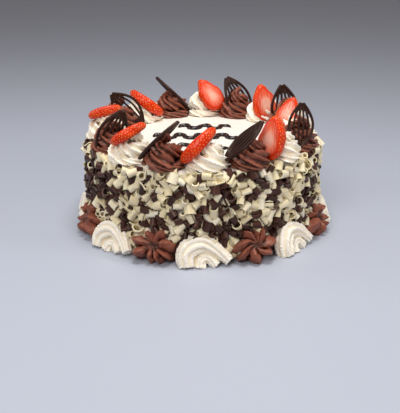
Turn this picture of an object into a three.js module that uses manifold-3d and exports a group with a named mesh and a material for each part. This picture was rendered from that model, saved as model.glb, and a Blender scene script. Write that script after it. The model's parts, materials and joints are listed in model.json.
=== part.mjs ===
// A round cream gateau, uncut. The coat is whipped cream, its side is pressed with
// white and dark chocolate curls, and its top carries sixteen piped swirls, turn
// about cream and chocolate: each cream swirl holds a strawberry slice and each
// chocolate swirl a dark chocolate fan. Sixteen piped pieces close the foot.
// Millimetres, +Z up. The origin is the middle of the base, and -Y is the front.
import * as THREE from "three";
import { mergeVertices } from "three/addons/utils/BufferGeometryUtils.js";
import Module from "manifold-3d";

const wasm = await Module();
wasm.setup();

// ---- Driving dimensions ----------------------------------------------------

const TIN_RADIUS = 101.6; // an 8 inch sponge
const COAT = 0.9; // the cream outside the sponge
const BODY_RADIUS = TIN_RADIUS + COAT;
const BODY_HEIGHT = 77;
const EDGE_ROUND = 3;
const BODY_SIDES = 48;
const GAP = 0.3; // left between pieces that touch

// Swirls: flutes of the nozzle, and one ridge that winds down in layers.
const SWIRL = { lobes: 6, flute: 0.1, twist: 1.1, layers: 2.2, step: 0.08, relief: 1.5, rings: 7 };
const SWIRL_RADIUS = 18;
const SWIRL_BEND = 3; // how far the peak is drawn to one side
const SWIRL_TURN = 3; // each swirl is turned by this many times its own direction
const CREAM_SWIRL = { height: 24, dome: 1.15 };
const CHOCOLATE_SWIRL = { height: 27, dome: 1.45 };

// The foot: ridged scrolls that arch over a small curl, and pressed stars.
const FOOT = { count: 16, first: 1 }; // the first stands 1 degree from the front
const SCROLL = { groove: 0.16, lean: 24, out: 8.5 };
const ARCH = { radius: 7.4, ridges: 4, steps: 7 };
const ARCH_PATH = [[-13.5, -2], [-13.5, 9], [-4, 18.5], [8, 13], [17, 3]];
const INNER_CURL = { radius: 5, ridges: 2, steps: 2 };
const INNER_CURL_PATH = [[-3.5, -1], [0, 6.5], [5, -1]];
const STAR = { lobes: 8, flute: 0.17, twist: 0.12, layers: 0, step: 0, relief: 0, rings: 7 };
const STAR_SIZE = { across: 38.5, tall: 28, deep: 15, tilt: 28, middle: 11.2 };
const STAR_PINCH = { depth: 5, reach: 0.13 };

// Toppings. A berry is widest near its stem and narrows to its tip by the taper.
const FAN = { length: 48, width: 27, thick: 2.2, rim: 1.7, rib: 1.5, slots: 5 };
const FAN_SLOT = [0.13, 0.34, 0.64, 0.84]; // the corners of a slot, along the fan
const FAN_SEAT = 0.6;
const BERRY = { length: 38, width: 25, thick: 10, round: 2.6, stem: 1.15, taper: 0.42 };
const BERRY_SEAT = 0.9;

const CURLS = { rows: 4, perRow: 14, lowest: 34, highest: 70, roll: 3.8, length: 10 };
const CURL_SPREAD = { along: 9, up: 3, size: 0.3, tip: 0.6, proud: 0.25, chips: 0.35 };

// Wavy lines on the top: each row's middle, half length and distance to the back.
const WAVE = { swing: 5, line: 4, rise: 1.6, sunk: 1, perHump: 4 };
const WAVE_ROWS = [[2, 24, 31], [-6, 38, -1], [0, 22, -33]];

// Each portion: what it is piped in, its direction in degrees from the front
// (positive to the right), and how far out its swirl stands. Then its topping:
// where its tip stands (outward from the middle of the swirl, along the ring, up
// from the top of the cake), how far it leans, the direction that it leans to, its
// turn about its own length, and its size beside the largest.
const PORTIONS = [
  { kind: "cream", at: 2.3, out: 86, tip: [2.2, 6.3, 32.6], lean: 45, to: 99, spin: -18, size: 1 },
  { kind: "chocolate", at: 24.8, out: 89, tip: [0.8, 11.3, 35.3], lean: 51, to: 117, spin: -8, size: 0.93 },
  { kind: "cream", at: 47, out: 88, tip: [1.9, -10.1, 37.7], lean: 17, to: 152, spin: -12, size: 0.95 },
  { kind: "chocolate", at: 69, out: 88, tip: [3.2, -3.4, 40.8], lean: 18, to: 172, spin: 10, size: 0.82 },
  { kind: "cream", at: 92, out: 85, tip: [-2.5, 6, 34.5], lean: 28, to: 132, spin: 30, size: 0.82 },
  { kind: "chocolate", at: 114, out: 87, tip: [-2, 7.9, 39.1], lean: 12, to: -142, spin: -30, size: 1 },
  { kind: "cream", at: 136.5, out: 87, tip: [-5.7, 0.6, 35.1], lean: 19, to: -143, spin: -18, size: 0.95 },
  { kind: "chocolate", at: 157, out: 85, tip: [-2.1, 10.1, 37.6], lean: 33, to: -106, spin: -40, size: 1 },
  { kind: "cream", at: 179, out: 86, tip: [-6.2, 5.1, 34.5], lean: 40, to: -107, spin: -50, size: 0.93 },
  { kind: "chocolate", at: -159.5, out: 86, tip: [6.1, 14.1, 37.3], lean: 45, to: -90, spin: 16, size: 1 },
  { kind: "cream", at: -137, out: 84, tip: [7.5, 9.6, 27.7], lean: 56, to: -98, spin: 18, size: 1 },
  { kind: "chocolate", at: -113, out: 86, tip: [5.6, 2, 31.7], lean: 46, to: -90, spin: -75, size: 0.86 },
  { kind: "cream", at: -88, out: 86, tip: [-13.6, 0.1, 28], lean: 74, to: 94, spin: -17, size: 0.8 },
  { kind: "chocolate", at: -64, out: 87, tip: [-8.1, 10.5, 35.8], lean: 25, to: 95, spin: -72, size: 1 },
  { kind: "cream", at: -41.2, out: 89, tip: [-7.8, 10.1, 30.6], lean: 62, to: 99, spin: -17, size: 0.85 },
  { kind: "chocolate", at: -19.5, out: 89, tip: [-2.9, 10.8, 37.4], lean: 47, to: 96, spin: -23, size: 0.93 },
];

// ---- Materials -------------------------------------------------------------

const MATERIALS = {
  coat: new THREE.MeshStandardMaterial({ color: 0xf1ead2, roughness: 0.6 }),
  cream: new THREE.MeshStandardMaterial({ color: 0xf3ebdb, roughness: 0.45 }),
  chocolate: new THREE.MeshStandardMaterial({ color: 0x6d4032, roughness: 0.5 }),
  darkChocolate: new THREE.MeshStandardMaterial({ color: 0x2b1a17, roughness: 0.35 }),
  strawberry: new THREE.MeshStandardMaterial({ color: 0xd9301a, roughness: 0.3 }),
};

// ---- Helpers ---------------------------------------------------------------

const radians = THREE.MathUtils.degToRad;
const clamp = THREE.MathUtils.clamp;
const UP = new THREE.Vector3(0, 0, 1);

// A repeatable draw between 0 and 1.
function drawer(seed) {
  let state = seed;
  return () => {
    state = (Math.imul(state, 1664525) + 1013904223) >>> 0;
    return state / 2 ** 32;
  };
}

// The level direction at an angle from the front, positive to the right.
function heading(degrees, length = 1) {
  const a = radians(degrees);
  return new THREE.Vector3(Math.sin(a) * length, -Math.cos(a) * length, 0);
}

function solidOf(geometry) {
  const bare = geometry.index ? geometry.toNonIndexed() : geometry.clone();
  bare.deleteAttribute("normal");
  bare.deleteAttribute("uv");
  const merged = mergeVertices(bare, 1e-4);
  return new wasm.Manifold(
    new wasm.Mesh({
      numProp: 3,
      vertProperties: merged.attributes.position.array,
      triVerts: new Uint32Array(merged.index.array),
    }),
  );
}

function geometryOf(solid) {
  const mesh = solid.getMesh();
  const position = new Float32Array(mesh.numVert * 3);
  for (let i = 0; i < mesh.numVert; i++) {
    const start = i * mesh.numProp;
    position.set(mesh.vertProperties.subarray(start, start + 3), i * 3);
  }
  const geometry = new THREE.BufferGeometry();
  geometry.setAttribute("position", new THREE.BufferAttribute(position, 3));
  geometry.setIndex(new THREE.BufferAttribute(mesh.triVerts, 1));
  return geometry;
}

// The largest piece of a solid, so that a cut leaves no loose scrap.
function largest(solid) {
  const bodies = solid.decompose();
  bodies.sort((a, b) => b.volume() - a.volume());
  return bodies[0];
}

function named(name, solid, material) {
  const mesh = new THREE.Mesh(geometryOf(solid), MATERIALS[material]);
  mesh.name = name;
  return mesh;
}

function extrude(outline, depth) {
  return new THREE.ExtrudeGeometry(outline, { depth, bevelEnabled: false });
}

// ---- Room that pieces keep to ----------------------------------------------

// All that lies below the top of the cake, and the gap that pieces keep to it.
function underTop() {
  const side = 4 * BODY_RADIUS;
  const block = new THREE.BoxGeometry(side, side, BODY_HEIGHT);
  return solidOf(block.translate(0, 0, BODY_HEIGHT / 2 + GAP));
}

// All that lies below the base, and all that lies inside the side of the cake.
function outsideFoot() {
  const side = 4 * BODY_RADIUS;
  const floor = new THREE.BoxGeometry(side, side, BODY_HEIGHT);
  const clear = BODY_RADIUS + GAP;
  const drum = new THREE.CylinderGeometry(clear, clear, 3 * BODY_HEIGHT, BODY_SIDES);
  const below = solidOf(floor.translate(0, 0, -BODY_HEIGHT / 2));
  return below.add(solidOf(drum.rotateX(Math.PI / 2)));
}

// The slice of space round one direction, short of both its neighbours' own.
function sector(at, last, next) {
  const far = 2 * BODY_RADIUS;
  const start = heading(at, (2 * GAP) / Math.sin(radians(next - last)));
  const corner = (turn) => heading(at + turn / 2, far).add(start);
  const points = [start, corner(next), corner(last)];
  const shape = new THREE.Shape(points.map(({ x, y }) => new THREE.Vector2(x, y)));
  return solidOf(extrude(shape, 2 * BODY_HEIGHT));
}

// The slice of space of one portion on the top.
function portionSector(index) {
  const count = PORTIONS.length;
  const { at } = PORTIONS[index];
  const turn = (other) => ((PORTIONS[other % count].at - at + 540) % 360) - 180;
  return sector(at, turn(index + count - 1), turn(index + 1));
}

// ---- Piped shapes ----------------------------------------------------------

// Pulls a ball into a piped form round +Z. s runs from 0 at the peak to 1 under
// the middle, and place(s) gives the height, the radius and the lean there. The
// flutes of the nozzle twist round the form, and a ridge winds down it in layers.
function piped({ lobes, flute, twist, layers, step, relief, rings }, place) {
  const ball = new THREE.SphereGeometry(1, 2 * lobes, rings);
  const position = ball.attributes.position;
  const p = new THREE.Vector3();
  for (let i = 0; i < position.count; i++) {
    p.fromBufferAttribute(position, i);
    const s = Math.acos(clamp(p.y, -1, 1)) / Math.PI;
    const round = Math.atan2(p.z, p.x);
    const { height, radius, lean } = place(s);
    const ridge = Math.cos(2 * Math.PI * layers * s + round);
    const fluted = flute * Math.cos(lobes * (round + twist * s * Math.PI));
    const full = Math.sqrt(Math.sin(Math.PI * s));
    const wide = radius * (1 + (fluted + step * ridge) * full);
    const raised = height > 0 ? height + relief * ridge * full : height;
    position.setXYZ(i, Math.cos(round) * wide + lean, -Math.sin(round) * wide, raised);
  }
  return ball;
}

// A swirl that stands on the cake: wide at its foot, drawn up to a bent peak.
function swirl({ height, dome }) {
  const foot = 1 - 1 / SWIRL.rings;
  return piped(SWIRL, (s) => {
    const t = Math.min(s / foot, 1);
    const under = s > 1 - 0.5 / SWIRL.rings;
    return {
      height: height * (1 - t ** dome),
      radius: under ? 0 : SWIRL_RADIUS * Math.sin((t * Math.PI) / 2) ** 0.85,
      lean: SWIRL_BEND * (1 - t) ** 2,
    };
  });
}

// A star pressed into the corner at the foot: lobes round a pinched middle, looking
// outward and up.
function star() {
  const { across, tall, deep, tilt, middle } = STAR_SIZE;
  const pinch = (s) => STAR_PINCH.depth * Math.exp(-((s / STAR_PINCH.reach) ** 2));
  const geometry = piped(STAR, (s) => ({
    height: deep * Math.cos(s * Math.PI) - pinch(s),
    radius: Math.sin(s * Math.PI) ** 0.8,
    lean: 0,
  }));
  geometry.scale(across / 2, tall / 2, 1).rotateX(Math.PI / 2 - radians(tilt));
  return solidOf(geometry.translate(0, -BODY_RADIUS, middle));
}

// A rope of cream along a path in the upright XZ plane, ridged like its nozzle.
function rope(path, { radius, ridges, steps }) {
  const points = [];
  for (let i = 0; i < 2 * ridges; i++) {
    const a = (Math.PI * i) / ridges;
    const r = radius * (i % 2 ? 1 - SCROLL.groove : 1);
    points.push(new THREE.Vector2(Math.cos(a) * r, Math.sin(a) * r));
  }
  const route = new THREE.CatmullRomCurve3(path.map(([x, z]) => new THREE.Vector3(x, 0, z)));
  const section = new THREE.Shape(points);
  return solidOf(new THREE.ExtrudeGeometry(section, { steps, extrudePath: route }));
}

// A scroll piped against the foot: an arch of rope over a small inner curl.
function scroll() {
  const both = rope(ARCH_PATH, ARCH).add(rope(INNER_CURL_PATH, INNER_CURL));
  return both.rotate([-SCROLL.lean, 0, 0]).translate([0, -(BODY_RADIUS + SCROLL.out), 0]);
}

// ---- Toppings, each made upright with its tip at the origin -----------------

// How wide a fan is, beside its widest, at t from its lower point to its tip.
function fanWidth(t) {
  return Math.sin(Math.PI * t) ** 0.9;
}

// The outline of a fan: a pointed oval.
function fanOutline(length, width, steps) {
  const points = [];
  for (let i = 0; i < 2 * steps; i++) {
    const t = i <= steps ? i / steps : 2 - i / steps;
    const side = i <= steps ? 1 : -1;
    points.push(new THREE.Vector2((side * width * fanWidth(t)) / 2, length * (t - 1)));
  }
  return new THREE.Shape(points);
}

function plate(outline, thick) {
  return extrude(outline, thick).translate(0, 0, -thick / 2).rotateX(Math.PI / 2);
}

// A fan: a pointed oval plate with slots between ribs that meet at both points.
function fan() {
  const { length, width, thick, rim, rib, slots } = FAN;
  const outline = fanOutline(length, width, 8);
  const open = width / 2 - rim;
  const pitch = (2 * open + rib) / slots;
  const edge = (x, t) => new THREE.Vector2(x * fanWidth(t), length * (t - 1));
  for (let k = 0; k < slots; k++) {
    const left = k * pitch - open;
    const up = FAN_SLOT.map((t) => edge(left + pitch - rib, t));
    const down = FAN_SLOT.slice(1, -1).reverse().map((t) => edge(left, t));
    outline.holes.push(new THREE.Path([...up, ...down]));
  }
  return plate(outline, thick);
}

// The room that a swirl leaves free for a fan.
function fanSeat() {
  const { length, width, thick } = FAN;
  const outline = fanOutline(length + 2 * FAN_SEAT, width + 3 * FAN_SEAT, 5);
  return plate(outline, thick + FAN_SEAT).translate(0, 0, FAN_SEAT);
}

// A slice of strawberry, cut lengthwise: two flat faces with the skin as a rim.
// With a margin it is the room that a swirl leaves free for one.
function berrySlice(steps, margin) {
  const { length, width, thick, round, stem, taper } = BERRY;
  const points = [];
  for (let i = 0; i < steps; i++) {
    const a = (2 * Math.PI * i) / steps;
    const t = (1 - Math.cos(a)) / 2;
    const wide = (width / 2) * (stem - taper * t) * Math.sin(a);
    points.push(new THREE.Vector2(-wide, length * (t - 1)));
  }
  const geometry = new THREE.ExtrudeGeometry(new THREE.Shape(points), {
    depth: thick - 2 * round + 2 * margin,
    bevelThickness: round,
    bevelSize: round,
    bevelOffset: margin - round,
    bevelSegments: 1,
  });
  return geometry.translate(0, 0, round - thick / 2 - margin).rotateX(Math.PI / 2);
}

// Stands a topping in its swirl: its length along the lean, its face by the spin,
// and nothing below the top of the cake.
function stand(geometry, { at, out, tip, lean, to, spin, size }) {
  const along = heading(to + 90);
  const axis = heading(to, Math.sin(radians(lean)));
  axis.z = Math.cos(radians(lean));
  const face = new THREE.Vector3().crossVectors(axis, along);
  const turned = new THREE.Matrix4().makeBasis(along, face, axis);
  turned.multiply(new THREE.Matrix4().makeRotationZ(radians(spin)));
  const spot = heading(at, out + tip[0]).addScaledVector(heading(at + 90), tip[1]);
  geometry.scale(size, size, size).applyMatrix4(turned);
  geometry.translate(spot.x, spot.y, BODY_HEIGHT + tip[2]);
  return solidOf(geometry).subtract(underTop());
}

// ---- The cake --------------------------------------------------------------

// The coated sponge, with a softly rounded top edge.
function core() {
  const bend = EDGE_ROUND * (1 - Math.SQRT1_2);
  const profile = [
    [0, 0],
    [BODY_RADIUS, 0],
    [BODY_RADIUS, BODY_HEIGHT - EDGE_ROUND],
    [BODY_RADIUS - bend, BODY_HEIGHT - bend],
    [BODY_RADIUS - EDGE_ROUND, BODY_HEIGHT],
    [0, BODY_HEIGHT],
  ];
  const points = profile.map(([r, z]) => new THREE.Vector2(r, z));
  return solidOf(new THREE.LatheGeometry(points, BODY_SIDES).rotateX(Math.PI / 2));
}

// Curls and chips pressed into the side, in rows that step round the cake.
function sideCurls() {
  const { rows, perRow, lowest, highest, roll, length } = CURLS;
  const { along, up, size, tip, proud, chips } = CURL_SPREAD;
  const draw = drawer(7);
  const about = (spread) => spread * (draw() - 0.5);
  const curls = [];
  for (let row = 0; row < rows; row++) {
    const level = lowest + ((highest - lowest) * row) / (rows - 1);
    for (let k = 0; k < perRow; k++) {
      const at = (360 / perRow) * (k + (row % 2) / 2) + about(along);
      const grown = 1 + about(size);
      const radius = roll * grown;
      const sides = draw() < chips ? 4 : 5;
      const curl = new THREE.CylinderGeometry(radius, radius, length * grown, sides);
      curl.rotateZ(Math.PI * draw()).rotateX(about(2 * tip));
      curl.applyMatrix4(new THREE.Matrix4().makeBasis(heading(at + 90), UP, heading(at)));
      const spot = heading(at, BODY_RADIUS + radius * proud);
      const z = Math.min(level + about(up), highest);
      curls.push(solidOf(curl.translate(spot.x, spot.y, z)));
    }
  }
  return curls;
}

// A wavy line of piped icing across the top.
function wave([middle, half, back]) {
  const { swing, line, rise, sunk, perHump } = WAVE;
  const humps = Math.round(half / swing);
  const steps = humps * perHump;
  const point = (i, side) => {
    const t = i / steps;
    const turn = Math.PI * humps * t;
    const slope = (Math.PI * humps * swing * Math.cos(turn)) / (2 * half);
    const aside = (side * line) / 2 / Math.hypot(1, slope);
    const x = middle + half * (2 * t - 1) - slope * aside;
    return new THREE.Vector2(x, back + swing * Math.sin(turn) + aside);
  };
  const near = [];
  const far = [];
  for (let i = 0; i <= steps; i++) {
    near.push(point(i, -1));
    far.unshift(point(i, 1));
  }
  const strip = extrude(new THREE.Shape([...near, ...far]), rise + sunk);
  return solidOf(strip.translate(0, 0, BODY_HEIGHT - sunk));
}

// The core with all that is fused to it.
function cakeBody() {
  const fused = [...sideCurls(), ...WAVE_ROWS.map(wave)];
  const solid = fused.reduce((whole, piece) => whole.add(piece), core());
  return named("cake_body", largest(solid), "coat");
}

// The ring of swirls, each cut free of the toppings that stand in or near it.
function topRing() {
  const pairs = PORTIONS.map((portion) => {
    const isCream = portion.kind === "cream";
    return {
      topping: stand(isCream ? berrySlice(14, 0) : fan(), portion),
      seat: stand(isCream ? berrySlice(10, BERRY_SEAT) : fanSeat(), portion),
    };
  });
  const made = { cream: 0, chocolate: 0 };
  return PORTIONS.flatMap((portion, index) => {
    const isCream = portion.kind === "cream";
    const number = ++made[portion.kind];
    const spot = heading(portion.at, portion.out);
    const shape = swirl(isCream ? CREAM_SWIRL : CHOCOLATE_SWIRL);
    shape.rotateZ(radians(portion.at * SWIRL_TURN));
    shape.translate(spot.x, spot.y, BODY_HEIGHT + GAP);
    const whole = solidOf(shape).intersect(portionSector(index)).subtract(underTop());
    const solid = pairs.reduce((rest, { seat }) => rest.subtract(seat), whole);
    const { topping } = pairs[index];
    return [
      named(`${portion.kind}_swirl_${number}`, largest(solid), portion.kind),
      isCream
        ? named(`strawberry_slice_${number}`, topping, "strawberry")
        : named(`chocolate_fan_${number}`, topping, "darkChocolate"),
    ];
  });
}

// The ring at the foot: scrolls and stars turn about.
function footRing() {
  const taken = outsideFoot();
  const turn = 360 / FOOT.count;
  return Array.from({ length: FOOT.count }, (_, k) => {
    const isScroll = k % 2 === 0;
    const at = FOOT.first + turn * k;
    const piece = (isScroll ? scroll() : star()).rotate([0, 0, at]);
    const solid = largest(piece.intersect(sector(at, -turn, turn)).subtract(taken));
    const number = Math.floor(k / 2) + 1;
    return isScroll
      ? named(`cream_scroll_${number}`, solid, "cream")
      : named(`chocolate_star_${number}`, solid, "chocolate");
  });
}

const cake = new THREE.Group();
cake.add(cakeBody(), ...topRing(), ...footRing());

export default cake;
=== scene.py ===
"""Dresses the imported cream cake: coat, curls, piping, berries and chocolate.

Sizes in this file are millimetres until a mesh is made, and the frame is metres.
The origin is the middle of the cake's base, +Z is up and -Y is the front.
"""

import json
import math

import bmesh
import bpy
import numpy as np
from bpy.props import FloatProperty, FloatVectorProperty, IntProperty, PointerProperty
from mathutils import Matrix, Vector, noise

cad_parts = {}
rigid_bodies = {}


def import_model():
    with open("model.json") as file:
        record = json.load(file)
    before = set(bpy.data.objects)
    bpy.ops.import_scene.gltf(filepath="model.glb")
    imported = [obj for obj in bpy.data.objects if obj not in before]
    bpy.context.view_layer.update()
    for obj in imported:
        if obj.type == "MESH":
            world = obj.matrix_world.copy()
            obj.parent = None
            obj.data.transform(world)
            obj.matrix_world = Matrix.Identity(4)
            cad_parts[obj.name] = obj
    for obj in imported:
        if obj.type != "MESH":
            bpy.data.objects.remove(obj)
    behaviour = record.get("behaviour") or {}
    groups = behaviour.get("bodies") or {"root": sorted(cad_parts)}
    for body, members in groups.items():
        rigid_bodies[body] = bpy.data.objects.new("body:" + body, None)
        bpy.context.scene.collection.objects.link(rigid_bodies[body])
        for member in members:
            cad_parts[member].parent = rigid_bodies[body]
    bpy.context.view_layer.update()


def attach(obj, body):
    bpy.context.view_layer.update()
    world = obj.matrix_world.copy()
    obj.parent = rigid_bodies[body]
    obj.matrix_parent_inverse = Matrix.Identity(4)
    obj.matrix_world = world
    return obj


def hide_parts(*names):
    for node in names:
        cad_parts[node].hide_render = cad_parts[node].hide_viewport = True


bl_info = {
    "name": "Chocolate Strawberry Cake",
    "version": (1, 0, 0),
    "blender": (4, 5, 0),
    "location": "View3D > Sidebar > Cake",
    "description": "Pipes, presses and finishes a cream cake on its packed frame",
    "category": "Add Mesh",
}

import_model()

MM = 0.001
TURN = 2 * math.pi
BODY = "root"

# Where things stand, as in the part's source.
BODY_RADIUS = 102.5
BODY_HEIGHT = 77.0
GAP = 0.3
SWIRL_TURN = 3
FOOT_COUNT = 16
FOOT_FIRST = 1.0

# How deep swirls sink into the coat, and how fine a thin line or rib is melted.
SWIRL_SINK = 0.6
FINE_LINE = 0.45

# Each portion on the top: its cream, direction from the front, distance out, then
# its topping's tip (outward, along the ring, up), lean, direction, turn and size.
PORTIONS = [
    ("cream", 2.3, 86, (2.2, 6.3, 32.6), 45, 99, -18, 1.0),
    ("chocolate", 24.8, 89, (0.8, 11.3, 35.3), 51, 117, -8, 0.93),
    ("cream", 47, 88, (1.9, -10.1, 37.7), 17, 152, -12, 0.95),
    ("chocolate", 69, 88, (3.2, -3.4, 40.8), 18, 172, 10, 0.82),
    ("cream", 92, 85, (-2.5, 6, 34.5), 28, 132, 30, 0.82),
    ("chocolate", 114, 87, (-2, 7.9, 39.1), 12, -142, -30, 1.0),
    ("cream", 136.5, 87, (-5.7, 0.6, 35.1), 19, -143, -18, 0.95),
    ("chocolate", 157, 85, (-2.1, 10.1, 37.6), 33, -106, -40, 1.0),
    ("cream", 179, 86, (-6.2, 5.1, 34.5), 40, -107, -50, 0.93),
    ("chocolate", -159.5, 86, (6.1, 14.1, 37.3), 45, -90, 16, 1.0),
    ("cream", -137, 84, (7.5, 9.6, 27.7), 56, -98, 18, 1.0),
    ("chocolate", -113, 86, (5.6, 2, 31.7), 46, -90, -75, 0.86),
    ("cream", -88, 86, (-13.6, 0.1, 28), 74, 94, -17, 0.8),
    ("chocolate", -64, 87, (-8.1, 10.5, 35.8), 25, 95, -72, 1.0),
    ("cream", -41.2, 89, (-7.8, 10.1, 30.6), 62, 99, -17, 0.85),
    ("chocolate", -19.5, 89, (-2.9, 10.8, 37.4), 47, 96, -23, 0.93),
]

# Wavy lines on the top: middle, half length and distance to the back.
WAVE_ROWS = [(2, 24, 31), (-6, 38, -1), (0, 22, -33)]

# Share of dark curls, and where they crowd: direction, height, spread along and
# up, and share there.
DARK_SHARE = 0.3
DARK_PATCHES = [
    (-68, 50, 26, 28, 0.92),
    (-44, 42, 15, 24, 0.85),
    (-24, 30, 10, 12, 0.6),
    (-3, 34, 18, 14, 0.82),
    (24, 28, 17, 15, 0.85),
    (36, 60, 13, 10, 0.65),
    (58, 42, 14, 20, 0.68),
    (-28, 66, 13, 9, 0.65),
    (8, 62, 9, 8, 0.5),
    (118, 40, 26, 24, 0.8),
    (172, 52, 22, 20, 0.7),
    (-128, 40, 24, 22, 0.8),
]


# ---- Settings a maker may change -------------------------------------------


def length(name, default, description):
    """A size in metres, given in millimetres."""
    return FloatProperty(
        name=name,
        description=description,
        default=default * MM,
        min=0.0,
        unit="LENGTH",
        precision=5,
    )


def share(name, default, description):
    """A share of something else, 1 being all of it."""
    return FloatProperty(
        name=name, description=description, default=default, min=0.0, subtype="FACTOR"
    )


def count(name, default, description):
    """A whole number of things."""
    return IntProperty(name=name, description=description, default=default, min=1)


def angle(name, degrees, description):
    """An angle, given in degrees."""
    return FloatProperty(
        name=name, description=description, default=math.radians(degrees), subtype="ANGLE"
    )


def colour(name, default, description):
    """A colour in linear light."""
    return FloatVectorProperty(
        name=name,
        description=description,
        default=default,
        size=3,
        min=0.0,
        max=1.0,
        subtype="COLOR",
    )


class CoatSettings(bpy.types.PropertyGroup):
    edge: length("Edge", 3, "Radius of the rounded top edge")
    under: length("Under", 2.2, "How far the coat lies back under the curls")
    tone: colour("Cream", (0.9, 0.85, 0.765), "Colour of the coat")
    ripple: length("Ripple", 0.35, "Depth of the marks left by the palette knife")


class CurlSettings(bpy.types.PropertyGroup):
    spacing: length("Spacing", 6.6, "Least distance between two outer curls")
    lift: length("Lift", 1.3, "How far the highest curls stand off the coat")
    sink: length("Sink", 4.2, "How far the lowest curls sit in the coat")
    tilt: angle("Tilt", math.degrees(0.75), "How far curls tip out of the surface")
    seed: count("Seed", 11, "Starts the random draw of the curls")
    white: colour("White", (0.85, 0.73, 0.48), "Colour of the white chocolate")
    dark: colour("Dark", (0.044, 0.0155, 0.0112), "Colour of the dark chocolate")


class WaveSettings(bpy.types.PropertyGroup):
    line: length("Line", 2.5, "Radius of the piped line")
    swing: length("Swing", 5, "Height of a wave")
    tone: colour("Icing", (0.012, 0.005, 0.004), "Colour of the piped lines")


class SwirlSettings(bpy.types.PropertyGroup):
    radius: length("Radius", 18.4, "Radius of a swirl's foot")
    rope: length("Rope", 9.3, "Radius of the piped rope at the foot")
    cream_height: length("Cream height", 26.5, "Height of a cream swirl")
    chocolate_height: length("Chocolate height", 28, "Height of a chocolate swirl")
    ridges: count("Ridges", 6, "Teeth of the nozzle")
    groove: share("Groove", 0.46, "Depth of the grooves beside the rope's radius")
    blade: share("Blade", 1.0, "How sharp the ridges are")
    cream: colour("Cream", (0.93, 0.86, 0.745), "Colour of the whipped cream")
    # Painted shade: a darker, yellower cream laid into the hollows of piped cream, where
    # shade falls.
    hollow_shade: colour("Cream hollows", (0.9, 0.77, 0.54), "Colour deep in the cream")
    chocolate: colour("Chocolate", (0.215, 0.067, 0.041), "Colour of the chocolate")
    # Painted shade: a near-black chocolate laid into the hollows of piped chocolate, where
    # shade falls.
    shade: colour("Chocolate hollows", (0.028, 0.006, 0.003), "Colour deep in it")
    fineness: length("Fineness", 0.52, "Size of the finest detail in piped cream")


class ScrollSettings(bpy.types.PropertyGroup):
    radius: length("Radius", 8.9, "Radius of the rope over the top of the arch")
    lean: angle("Lean", 24, "How far a scroll leans back on the cake")
    out: length("Out", 8.5, "Distance from the side to the middle of the rope")
    ridges: count("Ridges", 8, "Teeth of the nozzle")
    groove: share("Groove", 0.27, "Depth of the grooves beside the rope's radius")


class StarSettings(bpy.types.PropertyGroup):
    across: length("Across", 39, "Width of a pressed star")
    tall: length("Tall", 28, "Height of a pressed star")
    deep: length("Deep", 15, "How far a star stands off the side")
    up: length("Up", 11.2, "Height of a star's middle")
    lean: angle("Lean", 28, "How far a star leans back on the cake")
    petals: count("Petals", 8, "Teeth of the nozzle")


class FanSettings(bpy.types.PropertyGroup):
    length: length("Length", 48, "Length of the largest fan")
    width: length("Width", 27, "Width of the largest fan")
    rib: length("Rib", 1.15, "Radius of a rib")
    ribs: count("Ribs", 6, "Ribs from point to point")
    tone: colour("Chocolate", (0.021, 0.0076, 0.0052), "Colour of the dark chocolate")


class BerrySettings(bpy.types.PropertyGroup):
    length: length("Length", 38, "Length of the largest slice")
    width: length("Width", 25, "Width of the largest slice")
    thick: length("Thick", 10, "Thickness of a slice")
    skin: colour("Skin", (0.6, 0.02, 0.001), "Colour of the skin")
    flesh: colour("Flesh", (0.78, 0.11, 0.045), "Colour of the cut face")
    core: colour("Core", (0.92, 0.54, 0.42), "Colour of the pale core and veins")
    seed: colour("Seeds", (0.92, 0.6, 0.2), "Colour of the seeds")


class StageSettings(bpy.types.PropertyGroup):
    floor: colour("Floor", (0.43, 0.46, 0.54), "Colour of the floor")
    sky: colour("Sky", (0.8, 0.75, 0.73), "Colour of the light from all round")
    light: FloatProperty(
        name="Light", description="Strength of all the lamps", default=1.0, min=0.0
    )
    distance: length("Distance", 720, "From the camera to the cake")
    lens: FloatProperty(name="Lens", description="Focal length", default=68.1)


class CakeSettings(bpy.types.PropertyGroup):
    coat: PointerProperty(type=CoatSettings)
    curls: PointerProperty(type=CurlSettings)
    waves: PointerProperty(type=WaveSettings)
    swirls: PointerProperty(type=SwirlSettings)
    scrolls: PointerProperty(type=ScrollSettings)
    stars: PointerProperty(type=StarSettings)
    fans: PointerProperty(type=FanSettings)
    berries: PointerProperty(type=BerrySettings)
    stage: PointerProperty(type=StageSettings)


# ---- Small helpers ---------------------------------------------------------


def heading(degrees, size=1.0):
    """The level direction at an angle from the front, positive to the right."""
    a = math.radians(degrees)
    return Vector((math.sin(a) * size, -math.cos(a) * size, 0))


def smooth(low, high, x):
    """Rises gently from 0 at low to 1 at high."""
    t = np.clip((x - low) / (high - low), 0, 1)
    return t * t * (3 - 2 * t)


def mesh_object(name, points, faces, edges=()):
    """A new object of millimetre points, linked to the scene."""
    mesh = bpy.data.meshes.new(name)
    mesh.from_pydata([tuple(p) for p in np.asarray(points) * MM], edges, faces)
    mesh.update()
    obj = bpy.data.objects.new(name, mesh)
    bpy.context.scene.collection.objects.link(obj)
    return obj


def add_values(mesh, name, values, kind="FLOAT"):
    """Stores one value or vector for each point of a mesh."""
    layer = mesh.attributes.new(name, kind, "POINT")
    field = "value" if kind == "FLOAT" else "vector"
    layer.data.foreach_set(field, np.asarray(values, np.float32).ravel())


def vectors_of(mesh, field):
    """One vector for each point of a mesh."""
    flat = np.empty(len(mesh.vertices) * 3, np.float32)
    mesh.vertices.foreach_get(field, flat)
    return flat.reshape(-1, 3).astype(float)


def points_of(mesh):
    return vectors_of(mesh, "co") / MM


def normals_of(mesh):
    return vectors_of(mesh, "normal")


def set_points(mesh, points):
    mesh.vertices.foreach_set("co", (points * MM).astype(np.float32).ravel())
    mesh.update()


def above_floor(mesh):
    """Flattens what would dip below the floor."""
    points = points_of(mesh)
    points[:, 2] = np.maximum(points[:, 2], 0.0)
    set_points(mesh, points)


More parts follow.
